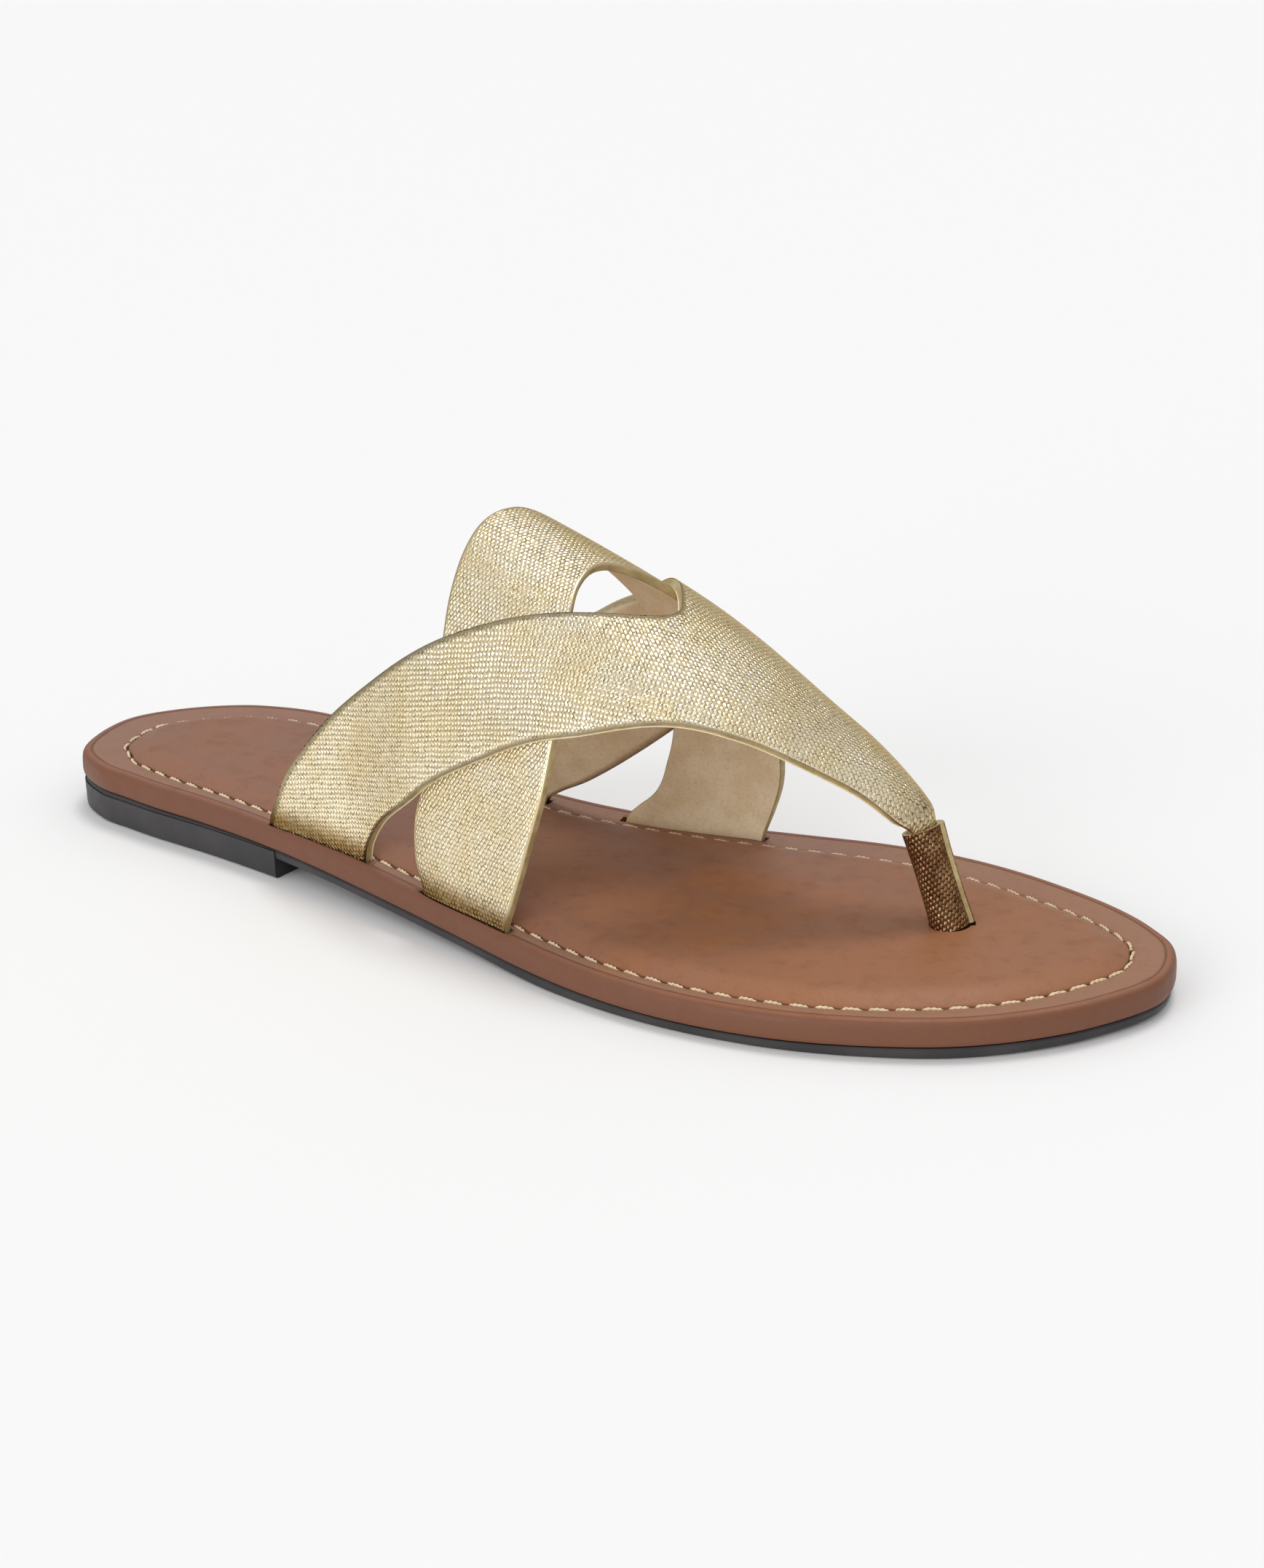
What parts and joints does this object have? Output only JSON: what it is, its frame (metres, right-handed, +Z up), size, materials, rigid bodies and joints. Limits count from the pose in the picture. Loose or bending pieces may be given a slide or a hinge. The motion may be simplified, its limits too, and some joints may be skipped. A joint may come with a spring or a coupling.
{
  "type": "flat thong sandal",
  "caption": "Flat toe-post sandal, right foot: forked instep strap crossed by a band, sleeve between the toes, padded footbed on a thin sole with a low heel.",
  "frame": {"origin": "centre of the bounding box on the floor, under the outsole", "axes": "+X towards the toe, +Y towards the medial side of this right shoe, +Z up from the floor"},
  "size_m": [0.253, 0.0931, 0.0816],
  "materials": {
    "outsole": "matt charcoal moulded sole",
    "midsole": "semi-gloss brown wrapped board",
    "insole_pad": "burnished semi-gloss brown",
    "upper": "champagne metallic with a woven emboss",
    "toe_post_sleeve": "old gold metallic weave"
  },
  "bodies": {
    "root": {"outsole": "outsole", "midsole": "midsole", "insole_pad": "insole_pad", "upper": "upper", "toe_post_sleeve": "toe_post_sleeve"}
  },
  "joints": []
}
